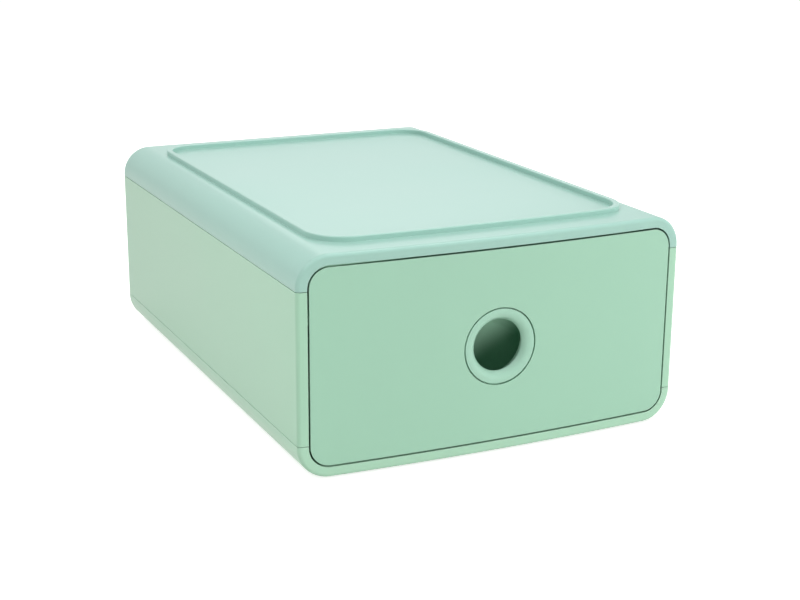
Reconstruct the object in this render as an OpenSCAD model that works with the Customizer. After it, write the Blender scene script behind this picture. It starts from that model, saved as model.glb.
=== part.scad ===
// Stackable drawer box: a five-panel plastic case with a raised stacking rim, and one drawer that is
// pulled by a ringed finger hole. Millimetres, +X right, +Y to the back, +Z up, feet on z = 0.

/* [Case] */
// Width of the case across its side panels
case_w = 260; // [220:1:320]
// Depth of the case from the middle of its bowed front to its back
case_d = 364; // [300:1:440]
// Height of the case from its underside to its flat top
case_h = 136; // [120:1:200]
// Radius of the four long rounded edges
corner_r = 20; // [17:0.5:24]
// How far the middle of the front stands out from its two sides
front_bow = 5; // [3:0.5:6]
// Rounding where the case turns into its front
front_edge_r = 4; // [1:0.5:6]
// Rounding where the case turns into its back
rear_edge_r = 5; // [1:0.5:8]
// Thickness of the case walls
wall = 3; // [2:0.1:3.5]
// Thickness of the lip round the drawer
lip = 6.6; // [5:0.1:8]
// Depth of the lip, from the middle of the front
lip_d = 14; // [12:0.5:20]
// Width of the lip round the rear panel
rear_lip = 12; // [10:0.5:14]
// Height of each seam past the end of the rounded edge
seam_offset = 1.2; // [0.5:0.1:3]

/* [Stacking rim] */
// Distance of the rim from the rounded edges
rim_side = 2.1; // [1:0.1:20]
// Setback of the rim from the front
rim_front = 21; // [17:0.5:40]
// Setback of the rim from the back
rim_rear = 25; // [15:0.5:60]
// Outer corner radius of the rim
rim_r = 23.5; // [12:0.5:40]
// Thickness of the rim
rim_t = 4.2; // [2:0.1:6]
// Height of the rim
rim_h = 3.5; // [2:0.1:4]
// Play of the rim in the groove of the box above
rim_play = 0.8; // [0.4:0.1:1.5]
// Thickness of the floor above the groove
groove_roof = 2.4; // [1.5:0.1:2.6]
// Gap between the rim and the ceiling of the groove
groove_air = 0.5; // [0.3:0.1:0.7]

/* [Feet] */
// Radius of a foot
foot_r = 7; // [4:0.5:10]
// How far a foot stands below the underside
foot_drop = 1; // [0.6:0.1:1.6]
// Depth of the pocket that holds a foot
foot_pocket = 1.2; // [0.6:0.1:1.4]
// Distance of the middle of a foot from the inside of the rim
foot_side = 17.7; // [10:0.1:50]
// Distance of the front feet from the front, and of the rear feet from the back
foot_y = 56; // [48:1:90]

/* [Snap tongues] */
// Number of tongues along each seam
tongue_count = 4; // [2:1:6]
// Width of a tongue
tongue_w = 18; // [10:1:24]
// Thickness of a tongue
tongue_t = 2; // [1.4:0.1:2.4]
// How far a tongue reaches past the seam
tongue_rise = 5; // [4:0.1:6]
// Length of the root that joins a tongue to its panel
tongue_root = 8; // [5:0.5:11]
// How far a tongue's nib stands out
nib_t = 0.8; // [0.4:0.1:1.2]
// Thickness of the keeper behind a tongue
keeper_t = 2.2; // [1.6:0.1:3]

/* [Rear panel] */
// Thickness of the panel's flange
rear_flange_t = 2; // [1.4:0.1:3]
// How far the flange reaches behind the rear lip
rear_flange_w = 6; // [3:0.5:8]
// How far the panel lies below the back of the case
rear_recess = 0.8; // [0.2:0.1:1.4]
// Width of the ribs that hold the flange
rear_keeper_w = 30; // [10:1:50]
// Thickness of the ribs that hold the flange
rear_keeper_t = 2; // [1.4:0.1:3]

/* [Drawer] */
// Gap round the drawer front
drawer_gap = 1; // [0.6:0.1:1.4]
// Thickness of the drawer front's face
front_t = 3; // [2.4:0.1:4]
// Thickness of the drawer front's edge wall
front_side_t = 2.6; // [1.6:0.1:3.4]
// Gap between the drawer front's face and the tray's front wall, at the sides
front_clear = 0.6; // [0.4:0.1:2]
// How far the tray's front wall reaches into the drawer front
spigot_d = 1; // [0.6:0.1:2]
// Rounding along the edge of the drawer front
front_roll = 0.8; // [0.3:0.1:1.2]
// Thickness of the tray walls
tray_t = 2.2; // [1.6:0.1:3]
// Thickness of the tray floor
tray_floor_t = 2.4; // [1.6:0.1:3.5]
// Outer corner radius of the tray
tray_r = 9; // [4:0.5:16]
// Outer radius of the tray's long bottom edges
tray_edge_r = 9; // [8:0.5:14]
// Gap between the tray floor and the lip that it passes
tray_lift = 0.8; // [0.5:0.1:3]
// How far the tray's top edge stays below the lip
tray_drop = 7; // [4:0.5:20]
// Gap between the tray's back and the rear panel
tray_back_gap = 4; // [1.5:0.5:15]

/* [Runners] */
// Distance of the lower runner below the upper seam
rail_drop = 18.8; // [17:0.1:60]
// Thickness of a runner
rail_t = 2.6; // [2:0.1:4]
// Width of a runner from the side panel
rail_w = 8; // [7:0.1:9]
// Gap between a runner and the tray wall
rail_side_gap = 1.5; // [0.8:0.1:2]
// Gap between a runner and the rear panel's flange
rail_end_gap = 4; // [1:0.5:12]
// Thickness of the tray's side flanges
flange_t = 2.4; // [1.6:0.1:4]
// Running gap above and below a flange
run_gap = 0.3; // [0.3:0.05:0.6]
// Gap to the stop when the drawer is shut
shut_gap = 0.5; // [0.5:0.05:1]
// Distance of the roof's stop rib from the front
stop_y = 64; // [40:1:120]
// Thickness of the roof's stop rib
stop_t = 2.5; // [1.6:0.1:4]
// Distance of the stop tabs from the tray's side walls
tab_side = 52.5; // [20:0.5:80]
// Width of a stop tab on the tray
tab_w = 18; // [10:1:40]
// Thickness of a stop tab
tab_t = 4; // [2.4:0.1:6]
// Gap between a stop tab and the roof
tab_gap = 1.4; // [1:0.1:1.8]

/* [Finger ring] */
// Outer radius of the ring's flange
ring_r = 23.9; // [21:0.1:30]
// Radius of the finger hole at its throat
hole_r = 16.4; // [12:0.1:17]
// Height of the finger hole above the middle of the front
ring_lift = -0.5; // [-12:0.5:12]
// Gap round the ring's flange
ring_gap = 0.4; // [0.2:0.05:0.8]
// Thickness of the ring's flange
ring_flange_t = 2.4; // [1.6:0.1:3]
// Width of the flat band round the flared mouth
ring_flat = 2.4; // [1:0.1:3]
// Depth of the flared mouth
mouth_d = 6; // [4:0.1:7]
// Radius of the hole at the ring's back
tail_r = 18.4; // [17:0.1:18.6]
// Outer radius of the ring's sleeve
sleeve_r = 20; // [19:0.1:20.4]
// Play of the sleeve in its holes
sleeve_play = 0.2; // [0.1:0.05:0.4]
// Height of the bead that snaps behind the tray wall
bead_h = 0.9; // [0.5:0.1:1.4]
// Length of the bead
bead_d = 2; // [1.2:0.1:3]
// Chamfer round the ring's flange
ring_chamfer = 0.3; // [0.1:0.05:0.5]
// Width of the cuts that let the sleeve spring
slot_w = 3; // [1.5:0.1:5]

/* [Front posts] */
// Distance of the posts from the tray's side walls
post_side = 21.5; // [16:0.5:60]
// Distance of the posts from the tray's top edge and its underside
post_rise = 16; // [12:0.5:24]
// Radius of a post's shoulder
post_r = 5; // [4.5:0.1:8]
// Radius of a post's pin
pin_r = 3; // [2:0.1:3.4]
// Play of a pin in its hole
pin_play = 0.3; // [0.1:0.05:0.5]
// Radius of a pin's snap head
head_r = 4; // [3.8:0.1:4.5]
// Length of a pin's snap head
head_d = 2.6; // [1.5:0.1:4]

/* [Hidden] */
$fn = 96;
// Segments in each rounded corner, across the bowed front, in each rolled edge and in the ring's mouth
corner_steps = 8;
bow_steps = 12;
roll_steps = 4;
mouth_steps = 12;
// Clearance between pieces of the case that fit into each other
fit = 0.2;
// Overlap that makes cuts clean and joins solid
over = 1;
bow_r = (pow(case_w / 2, 2) + pow(front_bow, 2)) / (2 * front_bow);
seam_low = corner_r + seam_offset;
seam_high = case_h - seam_low;
inner_x = case_w / 2 - wall;
front_inset = lip + drawer_gap;
mid_z = case_h / 2;
rim_w = case_w - 2 * (corner_r + rim_side);
foot_x = rim_w / 2 - rim_t - foot_side;
groove_d = rim_h - foot_drop + groove_air;
groove_outset = rim_play + groove_roof;
rear_flange_y = case_d - wall - rear_flange_t;
flange_x = case_w / 2 - front_inset;
plate_y = front_t + bow(flange_x) + front_clear;
front_d = plate_y + spigot_d;
tray_front = front_d + fit;
pin_end = tray_front + tray_t + fit;
rail_x = inner_x - rail_w;
rail_z = seam_high - rail_drop;
tray_x = rail_x - rail_side_gap;
tray_low = lip + tray_lift;
tray_top = case_h - lip - tray_drop;
tray_back = rear_flange_y - tray_back_gap;
tab_x = tray_x - tab_side;
post_x = tray_x - post_side;
plate_inset = front_inset + front_side_t + fit * 2;
flange_low = rail_z + run_gap;
rail_high = flange_low + flange_t + run_gap;
rail_front = front_d + shut_gap;
rail_rear = rear_flange_y - rail_end_gap;
ring_z = mid_z + ring_lift;
tongue_x = case_w / 2 - corner_r - fit
    + sqrt(pow(corner_r - wall, 2) - pow(tongue_rise - seam_offset, 2));
tongue_pitch = (case_d - 2 * rim_rear) / tongue_count;

// How far the bowed front lies behind its middle at x
function bow(x) = bow_r - sqrt(bow_r * bow_r - x * x);

// Upper half of a rounded rectangle, from its left side to its right side
function upper_half(w, h, r, inset) = concat(
    [for (i = [0 : corner_steps]) let (a = 180 - 90 * i / corner_steps)
        [r - w / 2 + (r - inset) * cos(a), h / 2 - r + (r - inset) * sin(a)]],
    [for (i = [1 : bow_steps - 1]) [r - w / 2 + (w - 2 * r) * i / bow_steps, h / 2 - inset]],
    [for (i = [0 : corner_steps]) let (a = 90 - 90 * i / corner_steps)
        [w / 2 - r + (r - inset) * cos(a), h / 2 - r + (r - inset) * sin(a)]]);

// One closed ring of points round that rectangle, with y given by the front's bow or by a plane
function ring_points(w, h, r, inset, y, bowed) =
    let (half = upper_half(w, h, r, inset), n = len(half))
    [for (i = [0 : 2 * n - 1]) let (p = i < n ? half[i] : half[2 * n - 1 - i], side = i < n ? 1 : -1)
        [p[0], y + (bowed ? bow(p[0]) : 0), side * p[1]]];

// Block with a rounded section, a bowed front at y_front, a flat back at y_back and rolled edges
module bowed_block(inset, y_front, y_back, front_edge, rear_edge) {
    w = case_w - 2 * inset;
    h = case_h - 2 * inset;
    r = corner_r - inset;
    front_steps = front_edge > 0 ? roll_steps : 0;
    rear_steps = rear_edge > 0 ? roll_steps : 0;
    rings = concat(
        [for (j = [0 : front_steps]) let (a = 90 - (front_steps > 0 ? 90 * j / front_steps : 0))
            ring_points(w, h, r, front_edge * (1 - cos(a)), y_front + front_edge * (1 - sin(a)), true)],
        [for (j = [0 : rear_steps]) let (a = rear_steps > 0 ? 90 * j / rear_steps : 0)
            ring_points(w, h, r, rear_edge * (1 - cos(a)), y_back - rear_edge * (1 - sin(a)), false)]);
    n = len(rings[0]);
    last = (len(rings) - 1) * n;
    bands = [for (j = [0 : len(rings) - 2], i = [0 : n - 1], k = [(i + 1) % n])
        each [[j * n + i, (j + 1) * n + k, j * n + k], [j * n + i, (j + 1) * n + i, (j + 1) * n + k]]];
    front_cap = [for (i = [0 : n / 2 - 2], lower = [n - 1 - i])
        each [[i, lower - 1, lower], [i, i + 1, lower - 1]]];
    rear_cap = [for (i = [0 : n / 2 - 2], lower = [n - 1 - i])
        each [[last + i, last + lower, last + lower - 1], [last + i, last + lower - 1, last + i + 1]]];
    translate([0, 0, mid_z])
        polyhedron(points = [for (ring = rings) each ring], faces = concat(bands, front_cap, rear_cap));
}

// Rounded rectangle about the origin
module round_rect(w, h, r) {
    square([w - 2 * r, h], center = true);
    square([w, h - 2 * r], center = true);
    for (x = [-1, 1], y = [-1, 1])
        translate([x * (w / 2 - r), y * (h / 2 - r)]) circle(r);
}

// Straight bar with the case's section, drawn in by the inset
module section_bar(inset, y_from, y_to) {
    translate([0, y_to, mid_z]) rotate([90, 0, 0]) linear_extrude(y_to - y_from)
        round_rect(case_w - 2 * inset, case_h - 2 * inset, corner_r - inset);
}

// Box given by its two corners
module block(low, high) {
    translate(low) cube(high - low);
}

// Bar along Y, given by its radius and its two ends
module rod(x, z, r, y_from, y_to) {
    translate([x, y_to, z]) rotate([90, 0, 0]) cylinder(h = y_to - y_from, r = r);
}

// Puts the case's own frame, with the middle of its front at the origin, into the part's frame
module place() {
    translate([0, -case_d / 2, foot_drop]) children();
}

// The stacking rim's outline in plan, drawn in by the inset, with the same bow as the front
function rim_outline(inset) =
    let (x = rim_w / 2 - rim_r, r = rim_r - inset, front = rim_front + rim_r,
        back = case_d - rim_rear - rim_r)
    concat(
        [for (i = [0 : corner_steps]) let (a = 90 * i / corner_steps)
            [x + r * cos(a), back + r * sin(a)]],
        [for (i = [0 : corner_steps]) let (a = 90 + 90 * i / corner_steps)
            [-x + r * cos(a), back + r * sin(a)]],
        [for (i = [0 : corner_steps]) let (a = 180 + 90 * i / corner_steps, p = -x + r * cos(a))
            [p, front + r * sin(a) + bow(p)]],
        [for (i = [1 : bow_steps - 1]) let (p = x * (2 * i / bow_steps - 1)) [p, front - r + bow(p)]],
        [for (i = [0 : corner_steps]) let (a = 270 + 90 * i / corner_steps, p = x + r * cos(a))
            [p, front + r * sin(a) + bow(p)]]);

// Band that follows the rim, between two insets and two heights
module rim_band(outer, inner, z_from, z_to) {
    translate([0, 0, z_from]) difference() {
        linear_extrude(z_to - z_from) polygon(rim_outline(outer));
        translate([0, 0, -over]) linear_extrude(z_to - z_from + 2 * over) polygon(rim_outline(inner));
    }
}

// Everything of the case between two heights, hollowed and opened at the front and at the back
module case_shell(z_from, z_to) {
    difference() {
        intersection() {
            bowed_block(0, 0, case_d, front_edge_r, rear_edge_r);
            block([-case_w, -over, z_from], [case_w, case_d + over, z_to]);
        }
        section_bar(wall, lip_d, case_d - wall);
        section_bar(lip, -over, lip_d + over);
        section_bar(rear_lip, case_d - wall - over, case_d + over);
    }
}

// Repeats something at every tongue along a seam
module at_tongues() {
    for (i = [0 : tongue_count - 1])
        translate([0, rim_rear + tongue_pitch * (i + 0.5), 0]) children();
}

// Keepers that stand behind the tongues in the upper shell, on both sides
module tongue_keepers() {
    outer = tongue_x - tongue_t - fit;
    reach = corner_r - wall / 2;
    top = case_h - corner_r + sqrt(pow(reach, 2) - pow(outer - case_w / 2 + corner_r, 2));
    window_low = seam_high + tongue_rise / 2 - fit;
    for (side = [0, 1]) mirror([side, 0, 0]) at_tongues() difference() {
        block([outer - keeper_t, -tongue_w / 2, seam_high + fit], [outer, tongue_w / 2, top]);
        block([outer - keeper_t - over, -tongue_w / 4 - fit, window_low],
            [outer + over, tongue_w / 4 + fit, seam_high + tongue_rise + fit]);
    }
}

// Ribs that hold the rear panel's flange against the rear lip, hanging from the roof
module rear_keepers() {
    for (x = [-1, 1]) translate([x * tab_x, rear_flange_y - fit, 0])
        block([-rear_keeper_w / 2, -rear_keeper_t, case_h - rear_lip],
            [rear_keeper_w / 2, 0, case_h - wall / 2]);
}

module top_cover() color([0.78, 0.90, 0.86]) place() {
    case_shell(seam_high, case_h + over);
    rim_band(0, rim_t, case_h - wall / 2, case_h + rim_h);
    tongue_keepers();
    rear_keepers();
    block([-tab_x - tab_w, stop_y, case_h - lip], [tab_x + tab_w, stop_y + stop_t, case_h - wall / 2]);
}

module base_cover() color([0.70, 0.85, 0.78]) place() difference() {
    union() {
        case_shell(-over, seam_low);
        translate([0, 0, case_h]) mirror([0, 0, 1]) {
            tongue_keepers();
            rear_keepers();
        }
        rim_band(-groove_outset, rim_t + groove_outset, wall / 2, groove_d + groove_roof);
    }
    rim_band(-rim_play, rim_t + rim_play, -over, groove_d);
    at_feet() translate([0, 0, -over]) cylinder(h = foot_pocket + over, r = foot_r + fit);
}

// Places of the four feet, or of one of them
module at_feet(sides = [-1, 1], ends = [0, 1]) {
    for (x = sides, e = ends)
        translate([x * foot_x, e * (case_d - 2 * foot_y) + foot_y, 0]) children();
}

module foot(side, end) color([0.80, 0.82, 0.80]) place() at_feet([side], [end])
    translate([0, 0, -foot_drop]) cylinder(h = foot_drop + foot_pocket, r = foot_r);

module front_left_foot() foot(-1, 0);

module front_right_foot() foot(1, 0);

module rear_left_foot() foot(-1, 1);

module rear_right_foot() foot(1, 1);

// Tongues along the upper seam of the right-hand panel
module tongues() {
    low = seam_high - tongue_root;
    nib_low = seam_high + tongue_rise / 2;
    at_tongues() {
        block([tongue_x - tongue_t, -tongue_w / 2, low], [inner_x + wall / 2, tongue_w / 2, seam_high - fit]);
        block([tongue_x - tongue_t, -tongue_w / 2, low], [tongue_x, tongue_w / 2, seam_high + tongue_rise]);
        block([tongue_x - tongue_t - nib_t, -tongue_w / 4, nib_low],
            [tongue_x - tongue_t / 2, tongue_w / 4, seam_high + tongue_rise - fit]);
    }
}

// The right-hand panel, with its front lip, two runners and snap tongues
module side_panel() {
    intersection() {
        case_shell(seam_low, seam_high);
        block([0, -over, 0], [case_w, case_d + over, case_h]);
    }
    for (z = [rail_z - rail_t, rail_high])
        block([rail_x, rail_front, z], [inner_x + wall / 2, rail_rear, z + rail_t]);
    tongues();
    translate([0, 0, case_h]) mirror([0, 0, 1]) tongues();
}

module left_side_panel() color([0.70, 0.84, 0.76]) place() mirror([1, 0, 0]) side_panel();

module right_side_panel() color([0.70, 0.84, 0.76]) place() side_panel();

module rear_panel() color([0.66, 0.82, 0.74]) place() {
    section_bar(rear_lip + fit, rear_flange_y, case_d - rear_recess);
    section_bar(rear_lip - rear_flange_w, rear_flange_y, case_d - wall);
}

// The tray's body with no hollow, drawn in by the inset, with its underside at the height given
module tray_body(inset, low, high) {
    width = 2 * (tray_x - inset);
    depth = tray_back - tray_front;
    middle = tray_front + depth / 2;
    intersection() {
        translate([0, middle, low]) linear_extrude(high - low)
            round_rect(width, depth - 2 * inset, tray_r - inset);
        translate([0, tray_back + over, low + case_h / 2]) rotate([90, 0, 0])
            linear_extrude(depth + 2 * over) round_rect(width, case_h, tray_edge_r - inset);
    }
}

// Pins or holes for the four posts of the drawer front
module at_posts() {
    for (x = [-post_x, post_x], z = [tray_low + post_rise, tray_top - post_rise])
        translate([x, 0, z]) children();
}

module drawer_tray() color([0.72, 0.86, 0.80]) place() difference() {
    union() {
        difference() {
            tray_body(0, tray_low, tray_top);
            tray_body(tray_t, tray_low + tray_floor_t, tray_top + over);
        }
        section_bar(plate_inset, plate_y, tray_front);
        block([tray_r - tray_x, plate_y, tray_low + tray_edge_r],
            [tray_x - tray_r, tray_front + tray_t / 2, tray_top - over]);
        for (side = [0, 1]) mirror([side, 0, 0]) {
            block([tray_x - tray_t / 2, tray_front, flange_low],
                [flange_x, tray_back - tray_r, flange_low + flange_t]);
            translate([tab_x, 0, 0])
                block([-tab_w / 2, tray_back - tab_t, tray_top - tray_floor_t],
                    [tab_w / 2, tray_back, case_h - wall - tab_gap]);
        }
    }
    rod(0, ring_z, sleeve_r + sleeve_play, 0, front_d + tray_r);
    at_posts() rod(0, 0, pin_r + pin_play, 0, front_d + tray_r);
}

module drawer_front() color([0.67, 0.83, 0.75]) place() {
    difference() {
        union() {
            difference() {
                bowed_block(front_inset, 0, front_d, front_roll, 0);
                bowed_block(front_inset + front_side_t, front_t, front_d + over, 0, 0);
            }
            rod(0, ring_z, ring_r + ring_gap + front_t, front_t / 2, plate_y);
            at_posts() rod(0, 0, post_r, front_t / 2 + bow(post_x), plate_y);
        }
        rod(0, ring_z, ring_r + ring_gap, -over, ring_flange_t + bow(ring_r));
        rod(0, ring_z, sleeve_r + sleeve_play, -over, front_d + over);
    }
    at_posts() {
        rod(0, 0, pin_r, plate_y - over, pin_end + head_d / 4);
        translate([0, pin_end, 0]) rotate([-90, 0, 0]) rotate_extrude()
            polygon([[0, 0], [head_r, 0], [head_r, head_d / 4], [pin_r * 0.8, head_d], [0, head_d]]);
    }
}

// Half section of the ring, as radius against depth behind the flange's face
function ring_section(back) = concat(
    [[ring_r, ring_chamfer], [ring_r - ring_chamfer, 0], [ring_r - ring_flat, 0]],
    [for (i = [1 : mouth_steps]) let (a = 90 * i / mouth_steps)
        [hole_r + (ring_r - ring_flat - hole_r) * (1 - sin(a)), mouth_d * (1 - cos(a))]],
    [[tail_r, back], [sleeve_r, back], [sleeve_r + bead_h, back - bead_d / 2],
        [sleeve_r + bead_h, back - bead_d], [sleeve_r, back - bead_d],
        [sleeve_r, ring_flange_t], [ring_r, ring_flange_t]]);

module finger_ring() color([0.72, 0.87, 0.80]) place() {
    face_y = bow(ring_r);
    back = pin_end + bead_d - face_y;
    slot_y = plate_y + over;
    difference() {
        translate([0, face_y, ring_z]) rotate([-90, 0, 0]) rotate_extrude() polygon(ring_section(back));
        for (a = [45, 135]) translate([0, 0, ring_z]) rotate([0, a, 0])
            block([-sleeve_r - bead_h - over, slot_y, -slot_w / 2],
                [sleeve_r + bead_h + over, face_y + back + over, slot_w / 2]);
    }
}

top_cover();
base_cover();
left_side_panel();
right_side_panel();
rear_panel();
front_left_foot();
front_right_foot();
rear_left_foot();
rear_right_foot();
drawer_tray();
drawer_front();
finger_ring();
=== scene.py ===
import math

import bmesh
import bpy
from mathutils import Matrix, Vector


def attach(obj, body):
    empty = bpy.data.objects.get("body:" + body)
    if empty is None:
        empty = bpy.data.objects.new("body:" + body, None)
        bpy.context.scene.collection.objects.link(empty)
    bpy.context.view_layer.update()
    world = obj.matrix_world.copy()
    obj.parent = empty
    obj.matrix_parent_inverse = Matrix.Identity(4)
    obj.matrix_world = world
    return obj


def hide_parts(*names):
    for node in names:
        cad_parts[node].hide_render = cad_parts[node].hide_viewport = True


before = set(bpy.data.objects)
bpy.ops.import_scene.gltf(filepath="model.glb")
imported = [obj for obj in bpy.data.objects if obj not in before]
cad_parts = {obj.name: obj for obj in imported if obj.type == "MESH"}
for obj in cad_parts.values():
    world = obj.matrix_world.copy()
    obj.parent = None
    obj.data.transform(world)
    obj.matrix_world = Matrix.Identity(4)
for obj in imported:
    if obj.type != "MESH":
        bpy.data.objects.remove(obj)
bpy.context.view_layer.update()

# ---------------------------------------------------------------------------------------------
# Base cover. The floor, the two lower rounded edges and the lower run of the drawer's lip are
# one injection moulding in matte mint ABS. It snaps onto the side panels along two long seams,
# and a groove in its underside takes the rim of the box below.
# ---------------------------------------------------------------------------------------------
CASE_X = 0.130              # half the width over the side panels
FRONT_Y, BACK_Y = -0.182, 0.182
UNDERSIDE, ROOF = 0.001, 0.137
MID_Z = (UNDERSIDE + ROOF) / 2
HALF_Z = (ROOF - UNDERSIDE) / 2
CORNER_R = 0.020
BOW_R = 1.6925              # the front is part of a cylinder of this radius
WALL, LIP, REAR_LIP = 0.003, 0.0066, 0.012
LIP_END = FRONT_Y + 0.014
FRONT_ROLL, REAR_ROLL = 0.0025, 0.005
SEAM_LOW, SEAM_HIGH, SEAM_GAP = 0.0222, 0.1158, 0.00015
CORNER_STEPS, ROLL_STEPS = 16, 6
STRIP = 0.010               # width of the strips that a bowed face is cut into
LIP_EDGE, INNER_EDGE = 0.00012, 0.0005
SMALL_EDGE = 0.0003         # how far most moulded edges are broken
SQUARE = 1.4                # radians; an edge that turns further is a corner
CRISP = math.radians(28)    # an edge that turns further is shaded sharp
HAIR = 0.00001              # tolerance when picking by place
FAR = 0.2                   # beyond the box on every side
REACH = 0.001               # how far a cutter goes past what it cuts, or a part into the next


def put_down():
    """Leaves edit mode and selects nothing."""
    if bpy.context.object and bpy.context.object.mode == "EDIT":
        bpy.ops.object.mode_set(mode="OBJECT")
    bpy.ops.object.select_all(action="DESELECT")


def only(piece):
    """Leaves edit mode and selects this piece alone."""
    put_down()
    piece.select_set(True)
    bpy.context.view_layer.objects.active = piece


def settle(piece):
    """Moves the piece's place into its mesh."""
    only(piece)
    bpy.ops.object.transform_apply(location=True, rotation=True, scale=True)
    return piece


def pick(piece, kind, wanted):
    """Selects those verts, edges or faces of the piece that pass a test, in edit mode."""
    if piece.mode != "EDIT":
        only(piece)
        bpy.ops.object.mode_set(mode="EDIT")
    bpy.ops.mesh.select_mode(type={"verts": "VERT", "edges": "EDGE", "faces": "FACE"}[kind])
    bpy.ops.mesh.select_all(action="DESELECT")
    mesh = bmesh.from_edit_mesh(piece.data)
    for part in [p for p in getattr(mesh, kind) if wanted(p)]:
        part.select_set(True)
    mesh.select_flush_mode()
    bmesh.update_edit_mesh(piece.data)


def ends(test):
    """An edge test from a test of both its ends."""
    return lambda edge: all(test(v.co) for v in edge.verts)


def at(value, wanted):
    """Whether a coordinate has the wanted value."""
    return abs(value - wanted) < HAIR


def section_inset(co):
    """How far a point lies inside the case's rounded outline, seen from the front."""
    x = abs(co.x) - (CASE_X - CORNER_R)
    z = abs(co.z - MID_Z) - (HALF_Z - CORNER_R)
    return CORNER_R - (math.hypot(x, z) if x > 0 and z > 0 else max(x, z))


def bow(x):
    """How far the bowed front lies behind its middle at x."""
    return BOW_R - math.sqrt(BOW_R * BOW_R - x * x)


def round_edges(piece, wanted, width, steps):
    """Bevels those edges of the piece that pass a test."""
    pick(piece, "edges", wanted)
    bpy.ops.mesh.bevel(offset=width, segments=steps, affect="EDGES")


def rough_block(name, low, high):
    """A block between two corners."""
    put_down()
    bpy.ops.mesh.primitive_cube_add(
        size=1, location=[(a + b) / 2 for a, b in zip(low, high)],
        scale=[b - a for a, b in zip(low, high)])
    bpy.context.object.name = name
    return settle(bpy.context.object)


def section_block(name, inset, y_front, y_back):
    """A block with the case's rounded section, drawn in by the inset."""
    x, z = CASE_X - inset, HALF_Z - inset
    block = rough_block(name, (-x, y_front, MID_Z - z), (x, y_back, MID_Z + z))
    round_edges(block, lambda e: abs(e.verts[0].co.y - e.verts[1].co.y) > HAIR,
                CORNER_R - inset, CORNER_STEPS)
    return block


def end_face(y, side):
    """A face test for the flat end at y that looks towards side."""
    return lambda f: f.normal.y * side > 0.9 and at(f.calc_center_median().y, y)


def inset_end(piece, y, side, width):
    """Insets the flat end at y and leaves its middle picked."""
    pick(piece, "faces", end_face(y, side))
    bpy.ops.mesh.inset(thickness=width, depth=0, use_even_offset=True)


def cut_strips(piece, half_width, wanted):
    """Cuts the faces that pass a test into upright strips, so that they can be bowed."""
    count = int(half_width / STRIP)
    for i in range(-count, count + 1):
        pick(piece, "faces", wanted)
        bpy.ops.mesh.bisect(plane_co=(i * STRIP, 0, 0), plane_no=(1, 0, 0), threshold=HAIR)


def cut_front(piece, y_limit):
    """Cuts all that lies in front of y_limit into strips."""
    cut_strips(piece, CASE_X, lambda f: all(v.co.y < y_limit for v in f.verts))


def bow_front(piece, y_limit):
    """Moves everything in front of y_limit back by the front's bow."""
    columns = {}
    pick(piece, "verts", lambda v: False)
    for v in bmesh.from_edit_mesh(piece.data).verts:
        if v.co.y < y_limit:
            columns.setdefault(round(abs(v.co.x), 6), set()).add(v.index)
    for x, column in columns.items():
        pick(piece, "verts", lambda v: v.index in column)
        bpy.ops.transform.translate(value=(0, bow(x), 0))


def fuse(piece, other, how="UNION"):
    """Joins other solids to the piece, or cuts them out of the piece."""
    only(piece)
    fusing = piece.modifiers.new("fuse", "BOOLEAN")
    fusing.operation, fusing.solver = how, "EXACT"
    fusing.object = other
    bpy.ops.object.modifier_apply(modifier=fusing.name)
    bpy.data.objects.remove(other)
    return piece


def together(parts):
    """Makes several parts one object."""
    put_down()
    for part in parts:
        part.select_set(True)
    bpy.context.view_layer.objects.active = parts[0]
    bpy.ops.object.join()
    return parts[0]


def blocks(name, corners, soft=SMALL_EDGE):
    """Several blocks with softened edges, as one object."""
    made = together([rough_block(name, low, high) for low, high in corners])
    if soft:
        round_edges(made, lambda e: True, soft, 2)
    return made


def in_row(ys, half, x, z):
    """Corners of equal blocks, one at each of these ys, with this half width."""
    return [((x[0], y - half, z[0]), (x[1], y + half, z[1])) for y in ys]


def both_sides(corners):
    """The same blocks on the right and, mirrored, on the left."""
    return corners + [((-b[0], a[1], a[2]), (-a[0], b[1], b[2])) for a, b in corners]


def upside_down(corners):
    """The same blocks, turned over about the middle of the case's height."""
    return [((a[0], a[1], 2 * MID_Z - b[2]), (b[0], b[1], 2 * MID_Z - a[2])) for a, b in corners]


def twin(piece, name):
    """A copy with its own mesh."""
    only(piece)
    bpy.ops.object.duplicate(linked=False)
    bpy.context.object.name = name
    return bpy.context.object


def between(piece, low, high):
    """Keeps only what lies between two corners."""
    return fuse(piece, rough_block("keep", low, high), "INTERSECT")


def upright(face):
    """A face test for walls and their roundings."""
    return abs(face.normal.z) < 0.5


def soften_seam(piece, z):
    """Breaks the edges of the cut that lies on a seam."""
    round_edges(piece, lambda e: ends(lambda co: at(co.z, z))(e)
                and any(upright(f) for f in e.link_faces), SMALL_EDGE, 2)


def corners_at(z):
    """An edge test for the outer corners that lie at this height."""
    return lambda e: (ends(lambda co: at(co.z, z))(e) and len(e.link_faces) == 2
                      and e.calc_face_angle(0) > SQUARE)


def smooth(piece):
    """Recalculates the outside and smooths all but the crisp edges."""
    pick(piece, "faces", lambda f: True)
    bpy.ops.mesh.remove_doubles(threshold=0.000002)
    bpy.ops.mesh.normals_make_consistent(inside=False)
    only(piece)
    bpy.ops.object.shade_smooth_by_angle(angle=CRISP, keep_sharp_edges=False)
    weighting = piece.modifiers.new("weighting", "WEIGHTED_NORMAL")
    weighting.keep_sharp, weighting.weight = True, 100
    bpy.ops.object.modifier_apply(modifier=weighting.name)


def finish_piece(piece, material, body, slot, *nodes):
    """Gives a piece its finish, its body and the nodes that it stands for."""
    smooth(piece)
    piece.data.materials.clear()
    piece.data.materials.append(material)
    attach(piece, body)
    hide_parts(*nodes)


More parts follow.
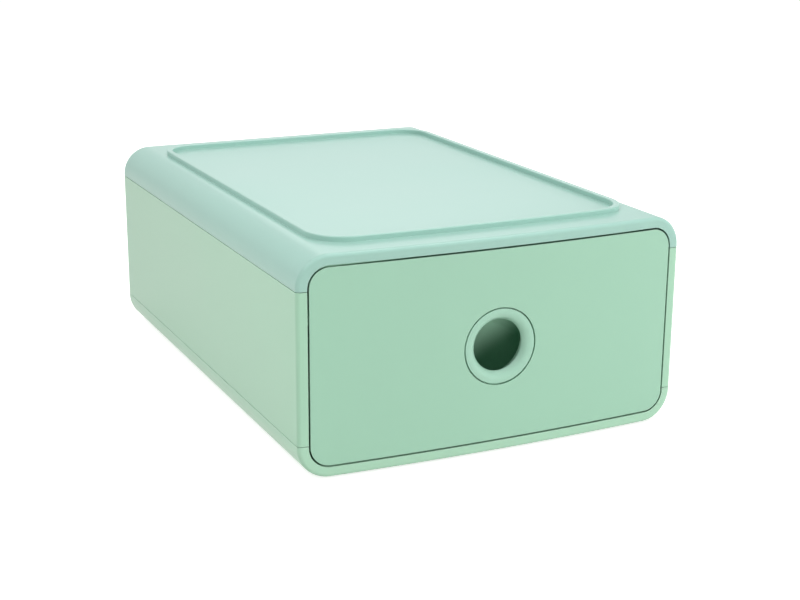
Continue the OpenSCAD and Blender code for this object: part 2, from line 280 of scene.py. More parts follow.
def case_block():
    """The whole case as one hollow shell, open at the front and at the back."""
    case = section_block("case", 0, FRONT_Y, BACK_Y)
    round_edges(case, ends(lambda co: at(co.y, FRONT_Y)), FRONT_ROLL, ROLL_STEPS)
    round_edges(case, ends(lambda co: at(co.y, BACK_Y)), REAR_ROLL, ROLL_STEPS)
    inset_end(case, FRONT_Y, -1, LIP - FRONT_ROLL)          # opens the front
    bpy.ops.mesh.extrude_region_move(TRANSFORM_OT_translate={"value": (0, LIP_END - FRONT_Y, 0)})
    bpy.ops.mesh.delete(type="FACE")
    inset_end(case, BACK_Y, 1, REAR_LIP - REAR_ROLL)        # opens the back
    bpy.ops.mesh.extrude_region_move(TRANSFORM_OT_translate={"value": (0, -WALL, 0)})
    bpy.ops.mesh.delete(type="FACE")
    hollow = section_block("hollow", WALL, LIP_END, BACK_Y - WALL)
    inset_end(hollow, LIP_END, -1, LIP - WALL)
    bpy.ops.mesh.delete(type="FACE")
    inset_end(hollow, BACK_Y - WALL, 1, REAR_LIP - WALL)
    bpy.ops.mesh.delete(type="FACE")
    together([case, hollow])
    pick(case, "faces", lambda f: True)
    bpy.ops.mesh.remove_doubles(threshold=0.0003)   # closes the shell at both lips
    bpy.ops.mesh.normals_make_consistent(inside=False)
    for y, inset, width in ((FRONT_Y, LIP, LIP_EDGE), (BACK_Y, REAR_LIP, INNER_EDGE),
                            (LIP_END, LIP, INNER_EDGE)):
        round_edges(case, ends(lambda co: at(co.y, y)
                               and abs(section_inset(co) - inset) < 10 * HAIR), width, 3)
    cut_front(case, LIP_END + HAIR)
    bow_front(case, FRONT_Y + FRONT_ROLL + HAIR)
    only(case)
    return case


RIM_X, RIM_FRONT, RIM_BACK, RIM_R, RIM_STEPS = 0.1079, -0.161, 0.157, 0.0235, 12
RIM_T, RIM_PLAY, GROOVE_ROOF, GROOVE_TOP = 0.0042, 0.0008, 0.0024, 0.0040
RIDGE_LOW, RIDGE_HIGH = 0.0025, 0.0064


def rim_block(name, inset, z_low, z_high):
    """A block with the stacking rim's outline in plan, drawn in by the inset."""
    block = rough_block(name, (inset - RIM_X, RIM_FRONT + inset, z_low),
                        (RIM_X - inset, RIM_BACK - inset, z_high))
    round_edges(block, lambda e: abs(e.verts[0].co.z - e.verts[1].co.z) > HAIR,
                RIM_R - inset, RIM_STEPS)
    cut_strips(block, RIM_X - RIM_R, lambda f: f.normal.y < -0.99)
    bow_front(block, RIM_FRONT + RIM_R + HAIR)
    only(block)
    return block


def rim_band(name, outer, inner, z_low, z_high):
    """A band between two insets of the stacking rim's outline."""
    band = rim_block(name, outer, z_low, z_high)
    return fuse(band, rim_block("inside", inner, z_low - REACH, z_high + REACH), "DIFFERENCE")


TONGUE_YS, TONGUE_HALF, WINDOW_HALF = (-0.11775, -0.03925, 0.03925, 0.11775), 0.009, 0.0047
KEEPERS = both_sides(in_row(TONGUE_YS, TONGUE_HALF, (0.12197, 0.12417), (0.1160, 0.12889)))
KEEPER_WINDOWS = both_sides(in_row(TONGUE_YS, WINDOW_HALF, (0.12097, 0.12517),
                                   (0.1181, 0.1210)))
REAR_KEEPER_XS, REAR_KEEPER_HALF = (-0.065, 0.065), 0.015
REAR_KEEPERS = [((x - REAR_KEEPER_HALF, 0.1748, 0.1250), (x + REAR_KEEPER_HALF, 0.1768, 0.1355))
                for x in REAR_KEEPER_XS]
FOOT_X, FOOT_Y = 0.086, 0.126
FEET = {"front_left_foot": (-FOOT_X, -FOOT_Y), "front_right_foot": (FOOT_X, -FOOT_Y),
        "rear_left_foot": (-FOOT_X, FOOT_Y), "rear_right_foot": (FOOT_X, FOOT_Y)}
POCKET_R, POCKET_TOP = 0.0072, 0.0022


def spark_texture():
    """Node group: the fine eroded texture of the mould, as a height."""
    tree = bpy.data.node_groups.new("spark_texture", "ShaderNodeTree")
    tree.interface.new_socket("Scale", in_out="INPUT", socket_type="NodeSocketFloat")
    tree.interface.new_socket("Height", in_out="OUTPUT", socket_type="NodeSocketFloat")
    link = tree.links.new
    given = tree.nodes.new("NodeGroupInput")
    place = tree.nodes.new("ShaderNodeTexCoord")
    fine = tree.nodes.new("ShaderNodeTexNoise")
    fine.inputs["Detail"].default_value = 3
    fine.inputs["Roughness"].default_value = 0.65
    link(place.outputs["Object"], fine.inputs["Vector"])
    link(given.outputs["Scale"], fine.inputs["Scale"])
    link(fine.outputs["Fac"], tree.nodes.new("NodeGroupOutput").inputs["Height"])
    return tree


def mould_flow():
    """Node group: slow changes of shade and gloss, where the melt cooled unevenly."""
    tree = bpy.data.node_groups.new("mould_flow", "ShaderNodeTree")
    new = tree.interface.new_socket
    for name, kind, start in (("Colour", "NodeSocketColor", (1, 1, 1, 1)),
                              ("Spread", "NodeSocketFloat", 0.04),
                              ("Roughness", "NodeSocketFloat", 0.5)):
        new(name, in_out="INPUT", socket_type=kind).default_value = start
    new("Colour", in_out="OUTPUT", socket_type="NodeSocketColor")
    new("Roughness", in_out="OUTPUT", socket_type="NodeSocketFloat")
    link = tree.links.new
    given = tree.nodes.new("NodeGroupInput")
    result = tree.nodes.new("NodeGroupOutput")
    place = tree.nodes.new("ShaderNodeTexCoord")
    cloud = tree.nodes.new("ShaderNodeTexNoise")
    cloud.inputs["Scale"].default_value = 9
    cloud.inputs["Detail"].default_value = 2
    link(place.outputs["Object"], cloud.inputs["Vector"])
    centred = tree.nodes.new("ShaderNodeMath")
    centred.operation = "SUBTRACT"
    centred.inputs[1].default_value = 0.5
    link(cloud.outputs["Fac"], centred.inputs[0])
    gain = tree.nodes.new("ShaderNodeMath")
    gain.operation = "MULTIPLY_ADD"
    gain.inputs[2].default_value = 1
    link(centred.outputs[0], gain.inputs[0])
    link(given.outputs["Spread"], gain.inputs[1])
    tint = tree.nodes.new("ShaderNodeVectorMath")
    tint.operation = "SCALE"
    link(given.outputs["Colour"], tint.inputs[0])
    link(gain.outputs[0], tint.inputs["Scale"])
    link(tint.outputs["Vector"], result.inputs["Colour"])
    gloss = tree.nodes.new("ShaderNodeMath")
    gloss.operation = "MULTIPLY_ADD"
    gloss.inputs[1].default_value = 0.10
    link(centred.outputs[0], gloss.inputs[0])
    link(given.outputs["Roughness"], gloss.inputs[2])
    link(gloss.outputs[0], result.inputs["Roughness"])
    return tree


def edge_mask():
    """Node group: a patchy mask of the edges, where the surface turns sharply."""
    tree = bpy.data.node_groups.new("edge_mask", "ShaderNodeTree")
    new = tree.interface.new_socket
    new("Width", in_out="INPUT", socket_type="NodeSocketFloat").default_value = 0.0008
    new("Mask", in_out="OUTPUT", socket_type="NodeSocketFloat")
    link = tree.links.new
    given = tree.nodes.new("NodeGroupInput")
    surface = tree.nodes.new("ShaderNodeNewGeometry")
    rounded = tree.nodes.new("ShaderNodeBevel")
    rounded.samples = 4
    link(given.outputs["Width"], rounded.inputs["Radius"])
    facing = tree.nodes.new("ShaderNodeVectorMath")
    facing.operation = "DOT_PRODUCT"
    link(surface.outputs["Normal"], facing.inputs[0])
    link(rounded.outputs["Normal"], facing.inputs[1])
    turned = tree.nodes.new("ShaderNodeMapRange")
    turned.inputs["From Min"].default_value = 1.0
    turned.inputs["From Max"].default_value = 0.90
    link(facing.outputs["Value"], turned.inputs["Value"])
    place = tree.nodes.new("ShaderNodeTexCoord")
    patches = tree.nodes.new("ShaderNodeTexNoise")
    patches.inputs["Scale"].default_value = 60
    patches.inputs["Detail"].default_value = 3
    link(place.outputs["Object"], patches.inputs["Vector"])
    patchy = tree.nodes.new("ShaderNodeMath")
    patchy.operation = "MULTIPLY"
    link(turned.outputs["Result"], patchy.inputs[0])
    link(patches.outputs["Fac"], patchy.inputs[1])
    link(patchy.outputs[0], tree.nodes.new("NodeGroupOutput").inputs["Mask"])
    return tree


SPARK_TEXTURE, MOULD_FLOW, EDGE_MASK = spark_texture(), mould_flow(), edge_mask()


def moulded_plastic(name, colour, edge_colour, roughness=0.36, grain=1400, depth=0.00002):
    """Matte moulded plastic: fine mould texture, uneven cooling, and another colour and more
    gloss along the edges.
    """
    material = bpy.data.materials.new(name)
    material.use_nodes = True
    tree = material.node_tree
    link = tree.links.new
    skin = tree.nodes["Principled BSDF"]
    skin.inputs["IOR"].default_value = 1.46

    def group(kind, **values):
        node = tree.nodes.new("ShaderNodeGroup")
        node.node_tree = kind
        for key, value in values.items():
            node.inputs[key].default_value = value
        return node

    flow = group(MOULD_FLOW, Colour=(*colour, 1), Roughness=roughness)
    edge_node = group(EDGE_MASK)
    texture = group(SPARK_TEXTURE, Scale=grain)
    mix = tree.nodes.new("ShaderNodeMix")
    mix.data_type = "RGBA"
    # the edges take another colour, lighter than the rest on the plastics
    mix.inputs["B"].default_value = (*edge_colour, 1)
    link(edge_node.outputs["Mask"], mix.inputs["Factor"])
    link(flow.outputs["Colour"], mix.inputs["A"])
    link(mix.outputs["Result"], skin.inputs["Base Color"])
    edge_gloss = tree.nodes.new("ShaderNodeMath")
    edge_gloss.operation = "MULTIPLY_ADD"
    edge_gloss.inputs[1].default_value = -0.12
    link(edge_node.outputs["Mask"], edge_gloss.inputs[0])
    link(flow.outputs["Roughness"], edge_gloss.inputs[2])
    link(edge_gloss.outputs[0], skin.inputs["Roughness"])
    bump = tree.nodes.new("ShaderNodeBump")
    bump.inputs["Strength"].default_value = 0.35
    bump.inputs["Distance"].default_value = depth
    link(texture.outputs["Height"], bump.inputs["Height"])
    link(bump.outputs["Normal"], skin.inputs["Normal"])
    return material


CASE_SHELL = case_block()
base = twin(CASE_SHELL, "base_shell")
between(base, (-FAR, -FAR, -FAR), (FAR, FAR, SEAM_LOW - SEAM_GAP))
soften_seam(base, SEAM_LOW - SEAM_GAP)
fuse(base, blocks("keepers", upside_down(KEEPERS + REAR_KEEPERS)))
fuse(base, blocks("windows", upside_down(KEEPER_WINDOWS), 0), "DIFFERENCE")
fuse(base, rim_band("ridge", -RIM_PLAY - GROOVE_ROOF, RIM_T + RIM_PLAY + GROOVE_ROOF,
                    RIDGE_LOW, RIDGE_HIGH))
fuse(base, rim_band("groove", -RIM_PLAY, RIM_T + RIM_PLAY, -REACH, GROOVE_TOP), "DIFFERENCE")
pockets = []
for x, y in FEET.values():
    put_down()
    bpy.ops.mesh.primitive_cylinder_add(vertices=64, radius=POCKET_R, depth=POCKET_TOP,
                                        location=(x, y, POCKET_TOP / 2))
    pockets.append(settle(bpy.context.object))
fuse(base, together(pockets), "DIFFERENCE")
round_edges(base, corners_at(UNDERSIDE), SMALL_EDGE, 2)
base_plastic = moulded_plastic("base_plastic", (0.375, 0.608, 0.455), (0.49, 0.70, 0.58))
finish_piece(base, base_plastic, "case", "case_plastic", "base_cover")

# ---------------------------------------------------------------------------------------------
# Feet. Four discs of soft pale rubber, pressed into round pockets in the underside, so that the
# box doesn't slide. Each has a broken edge and a shallow dish in its sole.
# ---------------------------------------------------------------------------------------------
FOOT_R, FOOT_H, SOLE_EDGE = 0.007, 0.0022, 0.0004
DISH_RIM, DISH_FLANK, DISH_DEPTH = 0.0018, 0.0003, 0.0002
put_down()
bpy.ops.mesh.primitive_cylinder_add(vertices=64, radius=FOOT_R, depth=FOOT_H,
                                    location=(0, 0, FOOT_H / 2))
foot = settle(bpy.context.object)
foot.name = "foot"
round_edges(foot, ends(lambda co: at(co.z, 0)), SOLE_EDGE, 3)
pick(foot, "faces", lambda f: f.normal.z < -0.9 and at(f.calc_center_median().z, 0))
bpy.ops.mesh.inset(thickness=DISH_RIM, depth=0)
bpy.ops.mesh.inset(thickness=DISH_FLANK, depth=-DISH_DEPTH)


def foot_rubber():
    """Soft rubber: dull, slightly mottled, with a coarse skin."""
    material = moulded_plastic("foot_rubber", (0.62, 0.65, 0.62), (0.48, 0.50, 0.48),
                               roughness=0.8, grain=700, depth=0.00004)
    material.node_tree.nodes["Principled BSDF"].inputs["IOR"].default_value = 1.5
    return material


FOOT_RUBBER = foot_rubber()
for node, (x, y) in FEET.items():
    pad = twin(foot, node.replace("foot", "pad"))
    pad.location = (x, y, 0)
    settle(pad)
    finish_piece(pad, FOOT_RUBBER, "case", "foot_rubber", node)
bpy.data.objects.remove(foot)

# ---------------------------------------------------------------------------------------------
# Side panels. Each is a flat moulding between the two seams, with its run of the lip at the
# front, two runners that carry the drawer, and snap tongues that hold both covers.
# ---------------------------------------------------------------------------------------------
RUNNER_T, RUNNER_END = 0.0026, 0.173
RUNNERS = [((0.119, -0.17247, z), (0.1285, RUNNER_END, z + RUNNER_T)) for z in (0.0944, 0.1000)]
NIB_HALF, TONGUE_EDGE = 0.0045, 0.0002
TONGUE_ROOTS = in_row(TONGUE_YS, TONGUE_HALF, (0.12437, 0.1285), (0.1078, 0.1156))
TONGUE_BLADES = in_row(TONGUE_YS, TONGUE_HALF, (0.12437, 0.12637), (0.1078, 0.1208))
NIBS = in_row(TONGUE_YS, NIB_HALF, (0.12357, 0.12537), (0.1183, 0.1206))
right = twin(CASE_SHELL, "right_side_wall")
between(right, (0, -FAR, SEAM_LOW + SEAM_GAP), (FAR, FAR, SEAM_HIGH - SEAM_GAP))
soften_seam(right, SEAM_HIGH - SEAM_GAP)
soften_seam(right, SEAM_LOW + SEAM_GAP)
fuse(right, blocks("runners", RUNNERS))
for layer in (TONGUE_ROOTS, TONGUE_BLADES, NIBS):
    fuse(right, blocks("tongues", layer + upside_down(layer), TONGUE_EDGE))
left = twin(right, "left_side_wall")
pick(left, "verts", lambda v: True)
bpy.ops.transform.mirror(constraint_axis=(True, False, False), center_override=(0, 0, 0))
bpy.ops.mesh.flip_normals()
side_plastic = moulded_plastic("side_plastic", (0.354, 0.594, 0.438), (0.47, 0.68, 0.56))
finish_piece(left, side_plastic, "case", "panel_plastic", "left_side_panel")
finish_piece(right, side_plastic, "case", "panel_plastic", "right_side_panel")

# ---------------------------------------------------------------------------------------------
# Rear panel. A flat plate that fills the back opening, with a flange behind the rear lip, held
# there by ribs of both covers.
# ---------------------------------------------------------------------------------------------
PLATE_GAP, PLATE_BACK, PLATE_EDGE = 0.0002, 0.1812, 0.0004
FLANGE_FRONT, FLANGE_W = 0.177, 0.006
rear = section_block("rear_wall", REAR_LIP + PLATE_GAP, BACK_Y - WALL, PLATE_BACK)
round_edges(rear, ends(lambda co: at(co.y, PLATE_BACK)), PLATE_EDGE, 3)
fuse(rear, section_block("flange", REAR_LIP - FLANGE_W, FLANGE_FRONT, BACK_Y - WALL))
rear_plastic = moulded_plastic("rear_plastic", (0.345, 0.570, 0.424), (0.47, 0.67, 0.55))
finish_piece(rear, rear_plastic, "case", "panel_plastic", "rear_panel")

# ---------------------------------------------------------------------------------------------
# Top cover. The roof, both upper rounded edges, the upper run of the lip and the low stacking
# rim are one moulding, a shade bluer than the panels. It snaps down onto the side panels.
# ---------------------------------------------------------------------------------------------
RIM_TOP, RIM_ROOT, RIM_EDGE, RIM_FOOT = 0.1405, ROOF - 0.0015, 0.0009, 0.00025
STOP_RIB = [((-0.083, -0.118, 0.1304), (0.083, -0.1155, 0.1355))]
cover = twin(CASE_SHELL, "roof_shell")
between(cover, (-FAR, -FAR, SEAM_HIGH + SEAM_GAP), (FAR, FAR, FAR))
soften_seam(cover, SEAM_HIGH + SEAM_GAP)
fuse(cover, blocks("keepers", KEEPERS + REAR_KEEPERS + STOP_RIB))
fuse(cover, blocks("windows", KEEPER_WINDOWS, 0), "DIFFERENCE")
rim = rim_band("rim", 0, RIM_T, RIM_ROOT, RIM_TOP)
round_edges(rim, corners_at(RIM_TOP), RIM_EDGE, 4)
fuse(cover, rim)
round_edges(cover, lambda e: ends(lambda co: at(co.z, ROOF))(e)
            and e.calc_face_angle_signed(0) < -SQUARE, RIM_FOOT, 2)
cover_plastic = moulded_plastic("cover_plastic", (0.320, 0.532, 0.462), (0.45, 0.65, 0.58))
finish_piece(cover, cover_plastic, "case", "case_plastic", "top_cover")
bpy.data.objects.remove(CASE_SHELL)

# ---------------------------------------------------------------------------------------------
# Drawer tray. A deep tub of thinner plastic with rounded bottom edges and a rim round its front.
# Two side flanges run between the runners, two tabs at its back meet the roof's stop rib, and
# its front wall is bored for the drawer front's four posts and for the ring.
# ---------------------------------------------------------------------------------------------
TUB_X, TUB_FRONT, TUB_BACK, TUB_LOW, TUB_TOP = 0.1175, -0.17277, 0.173, 0.0084, 0.1234
TUB_WALL, TUB_R, TUB_EDGE = 0.0022, 0.009, 0.0006
MEET_Y = -0.17397           # here the tray meets the drawer front's hub and posts
SPIGOT_INSET, SPIGOT_BACK = 0.0106, -0.17275
FLANGE = [((TUB_X - TUB_WALL / 2, TUB_FRONT, 0.0973), (0.1224, TUB_BACK - TUB_R, 0.0997))]
STOP_TAB = [((0.056, TUB_BACK - 0.004, TUB_TOP - 0.0024), (0.074, TUB_BACK, 0.1326))]
RING_Z, POSTS = 0.0685, [(x, z) for x in (-0.096, 0.096) for z in (0.0244, 0.1074)]
BORE_R, PIN_HOLE_R, BORED_TO = 0.0202, 0.0033, -0.164


def rod(name, x, z, radius, y_front, y_back, sides):
    """A round bar along the drawer's travel."""
    put_down()
    bpy.ops.mesh.primitive_cylinder_add(
        vertices=sides, radius=radius, depth=y_back - y_front,
        location=(x, (y_front + y_back) / 2, z), rotation=(math.radians(90), 0, 0))
    bpy.context.object.name = name
    return settle(bpy.context.object)


tray = rough_block("drawer_tub", (-TUB_X, TUB_FRONT, TUB_LOW), (TUB_X, TUB_BACK, TUB_TOP))
round_edges(tray, lambda e: not ends(lambda co: at(co.z, TUB_TOP))(e), TUB_R, 8)
pick(tray, "faces", lambda f: at(f.calc_center_median().z, TUB_TOP))
bpy.ops.mesh.delete(type="FACE")
only(tray)
hollowing = tray.modifiers.new("hollowing", "SOLIDIFY")
hollowing.thickness, hollowing.offset, hollowing.use_even_offset = TUB_WALL, -1, True
bpy.ops.object.modifier_apply(modifier=hollowing.name)
round_edges(tray, lambda e: ends(lambda co: at(co.z, TUB_TOP))(e)
            and any(upright(f) for f in e.link_faces), TUB_EDGE, 3)
fuse(tray, section_block("spigot", SPIGOT_INSET, MEET_Y, SPIGOT_BACK))
fuse(tray, blocks("flanges", both_sides(FLANGE + STOP_TAB)))
fuse(tray, rod("bore", 0, RING_Z, BORE_R, FRONT_Y, BORED_TO, sides=96), "DIFFERENCE")
fuse(tray, together([rod("hole", x, z, PIN_HOLE_R, FRONT_Y, BORED_TO, sides=32)
                     for x, z in POSTS]), "DIFFERENCE")
tray_plastic = moulded_plastic("tray_plastic", (0.360, 0.585, 0.460), (0.48, 0.68, 0.58), 0.42)


def paint_light_inside(material):
    """Painted light: a faint emission of the tray's inner faces, standing in for the daylight
    that comes through the walls, lighter towards the back, left and top.
    """
    tree = material.node_tree
    link = tree.links.new
    place = tree.nodes.new("ShaderNodeTexCoord")
    away = tree.nodes.new("ShaderNodeVectorMath")
    away.operation = "DOT_PRODUCT"
    away.inputs[1].default_value = (-7.0, 9.0, 6.0)     # grows backwards, left and upwards
    link(place.outputs["Object"], away.inputs[0])
    depth = tree.nodes.new("ShaderNodeMapRange")
    depth.interpolation_type = "SMOOTHSTEP"
    depth.inputs["From Min"].default_value = -0.80
    depth.inputs["From Max"].default_value = -0.38
    link(away.outputs["Value"], depth.inputs["Value"])
    parts = tree.nodes.new("ShaderNodeSeparateXYZ")
    link(place.outputs["Object"], parts.inputs["Vector"])
    side = tree.nodes.new("ShaderNodeMath")
    side.operation = "ABSOLUTE"
    link(parts.outputs["X"], side.inputs[0])
    low = tree.nodes.new("ShaderNodeMapRange")
    low.interpolation_type = "SMOOTHSTEP"
    low.inputs["From Min"].default_value = 0.055        # and fades out up the walls
    low.inputs["From Max"].default_value = 0.020
    link(parts.outputs["Z"], low.inputs["Value"])
    floorward = tree.nodes.new("ShaderNodeMath")
    floorward.operation = "MULTIPLY"
    link(depth.outputs["Result"], floorward.inputs[0])
    link(low.outputs["Result"], floorward.inputs[1])
    painted_glow = floorward.outputs[0]
    for value, limit, kind in ((side.outputs[0], TUB_X - TUB_WALL / 2, "LESS_THAN"),
                               (parts.outputs["Z"], TUB_LOW + TUB_WALL / 2, "GREATER_THAN")):
        inside = tree.nodes.new("ShaderNodeMath")
        inside.operation = kind
        inside.inputs[1].default_value = limit
        link(value, inside.inputs[0])
        both = tree.nodes.new("ShaderNodeMath")
        both.operation = "MULTIPLY"
        link(painted_glow, both.inputs[0])
        link(inside.outputs[0], both.inputs[1])
        painted_glow = both.outputs[0]
    # the colour of the painted light
    tint = tree.nodes.new("ShaderNodeVectorMath")
    tint.operation = "SCALE"
    tint.inputs[0].default_value = (0.115, 0.185, 0.138)
    link(painted_glow, tint.inputs["Scale"])
    skin = tree.nodes["Principled BSDF"]
    link(tint.outputs["Vector"], skin.inputs["Emission Color"])
    skin.inputs["Emission Strength"].default_value = 1.0


# The tray's inner faces get painted light: an emission standing in for light that comes through
# the walls.
paint_light_inside(tray_plastic)
finish_piece(tray, tray_plastic, "drawer", "tray_plastic", "drawer_tray")

# ---------------------------------------------------------------------------------------------
# Drawer front. A bowed plate that follows the case's lip with a gap of just over 1 mm, with an
# edge wall that is set in behind its thin edge. Four posts with snap heads hold it to the tray,
# and a round seat is sunk into its middle for the ring.
# ---------------------------------------------------------------------------------------------
FACE_INSET, FACE_BACK, FACE_T = 0.00775, -0.17297, 0.003
FACE_EDGE, FACE_STEP, EDGE_WALL, FACE_BREAK = 0.0007, 0.0012, 0.0015, 0.00015
SEAT_R, SEAT_DEPTH, HUB_R, HUB_FRONT, POST_R = 0.02455, 0.00257, 0.0273, -0.1805, 0.005
PIN_R, HEAD_FRONT, HEAD_BACK = 0.003, -0.17037, -0.16777
HEAD_R, HEAD_ROUND, HEAD_BITE = 0.004, 0.0014, 0.0006
face = section_block("drawer_face", FACE_INSET, FRONT_Y, FRONT_Y + FACE_EDGE)
round_edges(face, ends(lambda co: at(co.y, FRONT_Y)), FACE_BREAK, 2)
inset_end(face, FRONT_Y + FACE_EDGE, 1, FACE_STEP)
bpy.ops.mesh.extrude_region_move(
    TRANSFORM_OT_translate={"value": (0, FACE_BACK - FRONT_Y - FACE_EDGE, 0)})
inset_end(face, FACE_BACK, 1, EDGE_WALL)
bpy.ops.mesh.extrude_region_move(
    TRANSFORM_OT_translate={"value": (0, FRONT_Y + FACE_T - FACE_BACK, 0)})
cut_front(face, FACE_BACK + HAIR)
bow_front(face, FRONT_Y + FACE_T + HAIR)
hub = rod("hub", 0, RING_Z, HUB_R, HUB_FRONT, MEET_Y, sides=96)
fuse(face, together([hub] + [rod("post", x, z, POST_R, HUB_FRONT + bow(x), MEET_Y, sides=48)
                             for x, z in POSTS]))
fuse(face, together([rod("pin", x, z, PIN_R, MEET_Y - REACH, HEAD_FRONT + HEAD_BITE, sides=32)
                     for x, z in POSTS]))
heads = together([rod("head", x, z, HEAD_R, HEAD_FRONT, HEAD_BACK, sides=32) for x, z in POSTS])
round_edges(heads, ends(lambda co: at(co.y, HEAD_BACK)), HEAD_ROUND, 3)
fuse(face, heads)
seat = rod("seat", 0, RING_Z, SEAT_R, FRONT_Y - REACH, FRONT_Y + SEAT_DEPTH, sides=128)
fuse(face, seat, "DIFFERENCE")
bore = rod("bore", 0, RING_Z, BORE_R, FRONT_Y - REACH, FACE_BACK + REACH, sides=96)
fuse(face, bore, "DIFFERENCE")
front_plastic = moulded_plastic("front_plastic", (0.322, 0.554, 0.418), (0.44, 0.65, 0.54))
finish_piece(face, front_plastic, "drawer", "front_plastic", "drawer_front")

# ---------------------------------------------------------------------------------------------
# Finger ring. A round bezel with a flat band, a flared mouth and three prongs that snap through
# the drawer front and the tray. It is moulded on its own, a shade paler than the drawer front.
# ---------------------------------------------------------------------------------------------
RING_FACE = FRONT_Y + bow(0.0239)       # level with the bowed front at the ring's edge
SLEEVE_END = -0.16837 - RING_FACE       # this and all depths are taken from the ring's face
RING_R, RING_T, SLEEVE_R, BEAD_R, BEAD_W = 0.02362, 0.0024, 0.0200, 0.0209, 0.002
MOUTH_R, BAND_R, MOUTH_DEPTH, MOUTH_TURN, MOUTH_STEPS = (
    0.0164, 0.0216, 0.0036, math.radians(60), 16)
OUTER_EDGE = [(RING_R, RING_T), (RING_R, 0.0003), (0.02353, 0.00009), (0.02332, 0), (0.0218, 0)]
MOUTH = [(MOUTH_R + (BAND_R - MOUTH_R) * (1 - math.sin(a) / math.sin(MOUTH_TURN)),
          MOUTH_DEPTH * (1 - math.cos(a)) / (1 - math.cos(MOUTH_TURN)))
         for a in (MOUTH_TURN * i / MOUTH_STEPS for i in range(MOUTH_STEPS + 1))]
SLEEVE_INSIDE = [(0.0166, 0.0039), (0.0192, 0.0046), (0.0194, SLEEVE_END - 0.0028),
                 (0.0197, SLEEVE_END)]
SNAP_BEAD = [(SLEEVE_R, SLEEVE_END), (BEAD_R, SLEEVE_END - BEAD_W / 2),
             (BEAD_R, SLEEVE_END - BEAD_W), (SLEEVE_R, SLEEVE_END - BEAD_W)]
SLEEVE_ROOT = [(SLEEVE_R, RING_T)]
GAP_LOW, GAP_HIGH = (-0.0152, RING_FACE + 0.0052, 0.010), (0.0152, -0.167, 0.026)


def turned(name, profile, y_face, z, sides):
    """A ring with a profile of radii and depths behind its face, about the drawer's travel."""
    put_down()
    radius, depth = profile[0]
    bpy.ops.mesh.primitive_circle_add(
        vertices=sides, radius=radius, fill_type="NOTHING",
        location=(0, y_face + depth, z), rotation=(math.radians(90), 0, 0))
    ring = settle(bpy.context.object)
    ring.name = name
    pick(ring, "edges", lambda e: True)
    for new_radius, new_depth in profile[1:] + profile[:1]:
        bpy.ops.mesh.extrude_edges_move(
            TRANSFORM_OT_translate={"value": (0, new_depth - depth, 0)})
        bpy.ops.transform.resize(value=(new_radius / radius, 1, new_radius / radius),
                                 center_override=(0, y_face + new_depth, z))
        radius, depth = new_radius, new_depth
    pick(ring, "faces", lambda f: True)
    bpy.ops.mesh.remove_doubles(threshold=0.000001)
    bpy.ops.mesh.normals_make_consistent(inside=False)
    only(ring)
    return ring


ring = turned("pull_ring", OUTER_EDGE + MOUTH + SLEEVE_INSIDE + SNAP_BEAD + SLEEVE_ROOT,
              RING_FACE, RING_Z, sides=128)
for turn in (0, 120, 240):  # leaves three prongs of the sleeve
    gap = rough_block("gap", GAP_LOW, GAP_HIGH)
    gap.rotation_euler = (0, math.radians(turn), 0)
    gap.location = (0, 0, RING_Z)
    fuse(ring, settle(gap), "DIFFERENCE")
ring_plastic = moulded_plastic("ring_plastic", (0.338, 0.570, 0.446), (0.46, 0.67, 0.58), 0.34)
finish_piece(ring, ring_plastic, "drawer", "ring_plastic", "finger_ring")

# ---------------------------------------------------------------------------------------------
# Studio. A pale floor that shows as white and a white room with soft boxes, as for a product
# picture.
# ---------------------------------------------------------------------------------------------
FLOOR_SIZE, FLOOR_Z, FLOOR_GLOW = 8, -0.0002, 0.75
ROOM_FILL, ROOM_SEEN = 0.35, 1.0
put_down()
bpy.ops.mesh.primitive_plane_add(size=FLOOR_SIZE, location=(0, 0, FLOOR_Z))
floor = settle(bpy.context.object)
floor.name = "studio_floor"
paper = bpy.data.materials.new("floor_paper")
paper.use_nodes = True
nodes, link = paper.node_tree.nodes, paper.node_tree.links.new
surface = nodes["Principled BSDF"]
surface.inputs["Base Color"].default_value = (0.63, 0.63, 0.59, 1)
surface.inputs["Roughness"].default_value = 0.9
surface.inputs["Emission Color"].default_value = (1, 1, 1, 1)


def seen_directly(tree):
    """1 for camera, glossy and transmission rays, otherwise 0."""
    path = tree.nodes.new("ShaderNodeLightPath")
    total = path.outputs["Is Camera Ray"]
    for name in ("Is Glossy Ray", "Is Transmission Ray"):
        add = tree.nodes.new("ShaderNodeMath")
        add.operation, add.use_clamp = "ADD", True
        tree.links.new(total, add.inputs[0])
        tree.links.new(path.outputs[name], add.inputs[1])
        total = add.outputs[0]
    return total


lift = nodes.new("ShaderNodeMath")
lift.operation = "MULTIPLY"
lift.inputs[1].default_value = FLOOR_GLOW
link(seen_directly(paper.node_tree), lift.inputs[0])
link(lift.outputs[0], surface.inputs["Emission Strength"])
floor.data.materials.append(paper)

room = bpy.data.worlds.new("studio_room")
room.use_nodes = True
bpy.context.scene.world = room
sky = room.node_tree.nodes["Background"]
sky.inputs["Color"].default_value = (1, 1, 1, 1)
level = room.node_tree.nodes.new("ShaderNodeMapRange")
level.inputs["To Min"].default_value = ROOM_FILL
level.inputs["To Max"].default_value = ROOM_SEEN
room.node_tree.links.new(seen_directly(room.node_tree), level.inputs["Value"])
room.node_tree.links.new(level.outputs["Result"], sky.inputs["Strength"])


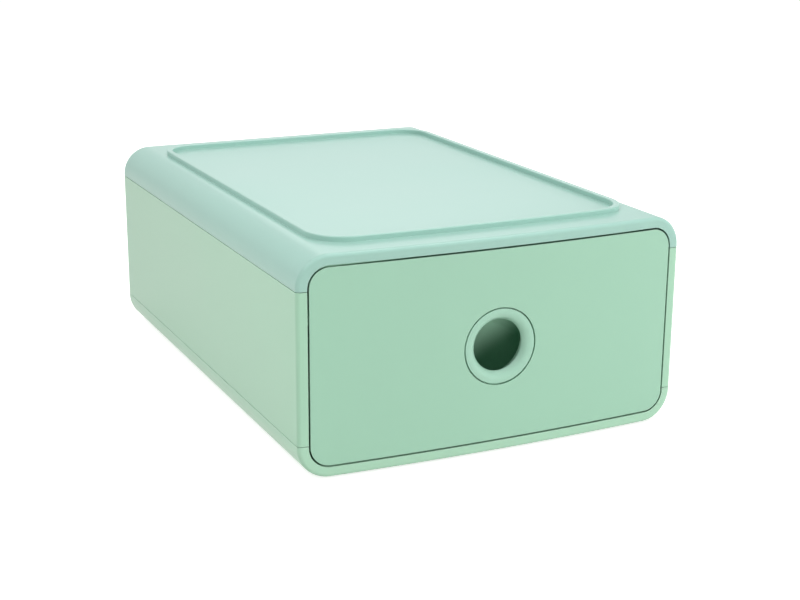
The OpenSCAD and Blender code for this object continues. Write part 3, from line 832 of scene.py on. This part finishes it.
def soft_box(name, place, aim, size, watts, colour, mirrored=True):
    """A rectangular lamp at a place, turned to what it is aimed at."""
    lamp = bpy.data.lights.new(name, "AREA")
    lamp.shape, lamp.size, lamp.size_y = "RECTANGLE", size[0], size[1]
    lamp.energy, lamp.color = watts, colour
    box = bpy.data.objects.new(name, lamp)
    bpy.context.scene.collection.objects.link(box)
    box.location = place
    box.rotation_euler = (Vector(aim) - Vector(place)).to_track_quat("-Z", "Y").to_euler()
    box.visible_glossy = mirrored


soft_box("overhead", (-0.1, -0.1, 1.4), (0, 0, 0.1), (1.3, 1.1), 6, (1.0, 0.97, 1.0))
soft_box("roof_key", (0.55, -0.25, 1.4), (0, 0, 0.1), (0.3, 0.3), 4.2, (1, 1, 1))
soft_box("left_key", (-0.80, -0.3, 1.08), (0, 0, 0.1), (0.6, 0.6), 4.6, (1, 1, 1))
soft_box("left_fill", (-0.62, -0.36, 0.25), (-0.13, -0.12, 0.06), (0.25, 0.25), 0.57,
         (1, 1, 1), False)
soft_box("front_fill", (1.05, -1.45, 0.2), (0, 0, 0.07), (1.0, 1.0), 26, (1, 1, 1), False)
soft_box("back_fill", (0.75, 1.65, 1.1), (0, 0, 0.07), (1.0, 0.8), 3.3, (0.98, 0.97, 1.0))
soft_box("rear_fill", (-0.3, 1.8, 0.3), (0, 0, 0.07), (1.0, 1.0), 10, (1, 1, 1), False)

# ---------------------------------------------------------------------------------------------
# Camera, a little above the box and to its left.
# ---------------------------------------------------------------------------------------------
PLACE, PAN, TILT, ROLL = (-0.43113, -0.94343, 0.35407), -25.527, 16.395, 0.398
view = bpy.data.cameras.new("camera")
view.lens, view.sensor_width = 68.36, 36
view.clip_start, view.clip_end = 0.05, 50
camera = bpy.data.objects.new("camera", view)
bpy.context.scene.collection.objects.link(camera)
camera.matrix_world = (
    Matrix.Translation(PLACE)
    @ Matrix.Rotation(math.radians(PAN), 4, "Z")
    @ Matrix.Rotation(math.radians(90 - TILT), 4, "X")
    @ Matrix.Rotation(math.radians(ROLL), 4, "Z"))
bpy.context.scene.camera = camera
bpy.context.scene.view_settings.view_transform = "Standard"

bpy.context.view_layer.update()
